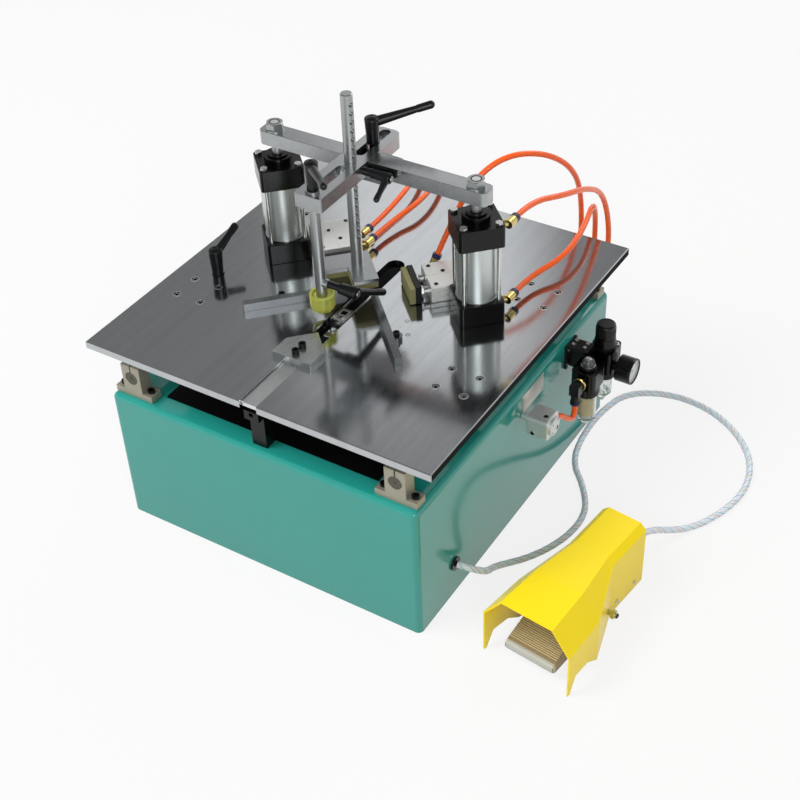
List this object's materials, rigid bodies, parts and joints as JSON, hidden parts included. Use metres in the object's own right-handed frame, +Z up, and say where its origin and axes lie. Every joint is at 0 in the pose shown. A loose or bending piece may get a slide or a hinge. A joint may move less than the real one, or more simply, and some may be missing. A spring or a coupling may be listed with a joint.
{
  "type": "picture frame underpinner",
  "caption": "Bench-top pneumatic underpinner for picture frame corners: sliding table with mitre fence, clamps and pressers on a cabinet, with air unit and foot pedal.",
  "frame": {"origin": "centre of the cabinet's footprint, on the bench", "axes": "+Z up, -Y towards the operator, +X to the operator's right"},
  "size_m": [0.7628, 0.6238, 0.577],
  "materials": {
    "cabinet_paint": "gloss enamel",
    "ground_steel": "ground",
    "shaft_chrome": "polished",
    "black_steel": "black oxide",
    "aluminium": "satin anodised",
    "black_casting": "satin",
    "steel": "machined",
    "brass": "machined",
    "blue_plastic": "moulded",
    "orange_tube": "extruded",
    "clear_tube": "extruded, translucent",
    "yellow_paint": "gloss enamel",
    "khaki_rubber": "cut sheet",
    "yellow_rubber": "moulded",
    "black_plastic": "moulded",
    "clear_plastic": "clear polycarbonate",
    "grey_plastic": "moulded",
    "dial_white": "printed card, left bare"
  },
  "bodies": {
    "cabinet": {"cabinet": "cabinet_paint", "shaft_supports": "aluminium", "support_screws": "black_steel", "guide_shafts": "shaft_chrome", "nail_head": "steel", "nail_magazine": "steel", "driver_cylinder": "aluminium", "unit_bracket": "black_steel", "filter_regulator": "black_casting", "gauge_case": "black_plastic", "gauge_dial": "dial_white", "lubricator": "black_casting", "clear_bowls": "clear_plastic", "elbow_fitting": "black_plastic", "air_valve": "aluminium", "grommet": "black_plastic", "rear_ports": "brass", "feed_hose": "orange_tube", "foot_hose": "clear_tube", "pedal_guard": "yellow_paint", "pedal_base": "black_steel", "pedal_valve": "aluminium", "pedal_axle": "steel"},
    "table": {"table_plate": "ground_steel", "bearing_blocks": "aluminium", "table_screws": "black_steel", "fence_bars": "steel", "base_caps": "black_casting", "barrels": "aluminium", "top_caps": "black_casting", "tie_rods": "steel", "clamp_bodies": "aluminium", "air_fittings": "brass", "fitting_collars": "blue_plastic", "air_hoses": "orange_tube"},
    "front_stop": {"front_stop": "steel", "stop_bar": "steel", "stop_screws": "black_steel"},
    "press_head": {"piston_rods": "steel", "crossbar": "steel", "saddle": "steel"},
    "arm": {"arm": "steel", "presser_rod": "steel"},
    "post": {"notched_post": "steel", "post_presser": "steel", "post_pad": "khaki_rubber"},
    "cup": {"presser_stem": "steel", "presser_cup": "yellow_rubber"},
    "table_lock_lever": {"table_lock_lever": "black_plastic"},
    "arm_lever": {"arm_lever": "black_plastic"},
    "post_lever": {"post_lever": "black_plastic"},
    "presser_lever": {"presser_lever": "black_plastic"},
    "cup_lever": {"cup_lever": "black_plastic"},
    "right_clamp": {"right_clamp_plate": "black_steel", "right_clamp_pad": "khaki_rubber"},
    "left_clamp": {"left_clamp_plate": "black_steel", "left_clamp_pad": "khaki_rubber"},
    "driver": {"driver_rod": "steel"},
    "regulator_knob": {"regulator_knob": "black_plastic"},
    "treadle": {"treadle": "grey_plastic"}
  },
  "joints": [
    {"name": "table_slide", "type": "slide", "parent": "cabinet", "child": "table", "axis": [0, 1, 0], "range_m": [-0.03, 0.03], "deforming": ["air_hoses"]},
    {"name": "front_stop_slide", "type": "slide", "parent": "table", "child": "front_stop", "axis": [0, 1, 0], "range_m": [-0.03, 0.02]},
    {"name": "press_stroke", "type": "slide", "parent": "table", "child": "press_head", "axis": [0, 0, 1], "range_m": [-0.005, 0.04]},
    {"name": "arm_slide", "type": "slide", "parent": "press_head", "child": "arm", "axis": [0, 1, 0], "range_m": [-0.03, 0]},
    {"name": "post_slide", "type": "slide", "parent": "arm", "child": "post", "axis": [0, 0, 1], "range_m": [-0.005, 0.08]},
    {"name": "cup_slide", "type": "slide", "parent": "arm", "child": "cup", "axis": [0, 0, 1], "range_m": [-0.008, 0]},
    {"name": "table_lock_turn", "type": "hinge", "parent": "table", "child": "table_lock_lever", "pos_m": [-0.204, -0.059, 0.29], "axis": [0, 0, 1], "range_deg": [-60, 60]},
    {"name": "arm_lever_turn", "type": "hinge", "parent": "press_head", "child": "arm_lever", "pos_m": [-0.019, 0.065, 0.482], "axis": [0, 0, 1], "range_deg": [-60, 60]},
    {"name": "post_lever_turn", "type": "hinge", "parent": "arm", "child": "post_lever", "pos_m": [0.001, 0.012, 0.472], "axis": [1, 0, 0], "range_deg": [-60, 60]},
    {"name": "presser_lever_turn", "type": "hinge", "parent": "arm", "child": "presser_lever", "pos_m": [-0.019, -0.072, 0.485], "axis": [0, 0, 1], "range_deg": [-60, 60]},
    {"name": "cup_lever_turn", "type": "hinge", "parent": "arm", "child": "cup_lever", "pos_m": [-0.0065, -0.072, 0.346], "axis": [1, 0, 0], "range_deg": [-5, 60]},
    {"name": "right_clamp_stroke", "type": "slide", "parent": "table", "child": "right_clamp", "axis": [-0.7071, -0.7071, 0], "range_m": [0, 0.01]},
    {"name": "left_clamp_stroke", "type": "slide", "parent": "table", "child": "left_clamp", "axis": [0.7071, -0.7071, 0], "range_m": [0, 0.01]},
    {"name": "driver_stroke", "type": "slide", "parent": "cabinet", "child": "driver", "axis": [0, 0, 1], "range_m": [0, 0.02]},
    {"name": "regulator_knob_turn", "type": "hinge", "parent": "cabinet", "child": "regulator_knob", "pos_m": [0.279, 0.168, 0.2103], "axis": [0, 0, 1], "range_deg": [-170, 170]},
    {"name": "treadle_press", "type": "hinge", "parent": "cabinet", "child": "treadle", "pos_m": [0.39742, -0.12729, 0.026], "axis": [0.9925, -0.1219, 0], "range_deg": [0, 5], "stiffness_Nm_per_rad": 4, "springref_deg": -20.05}
  ]
}
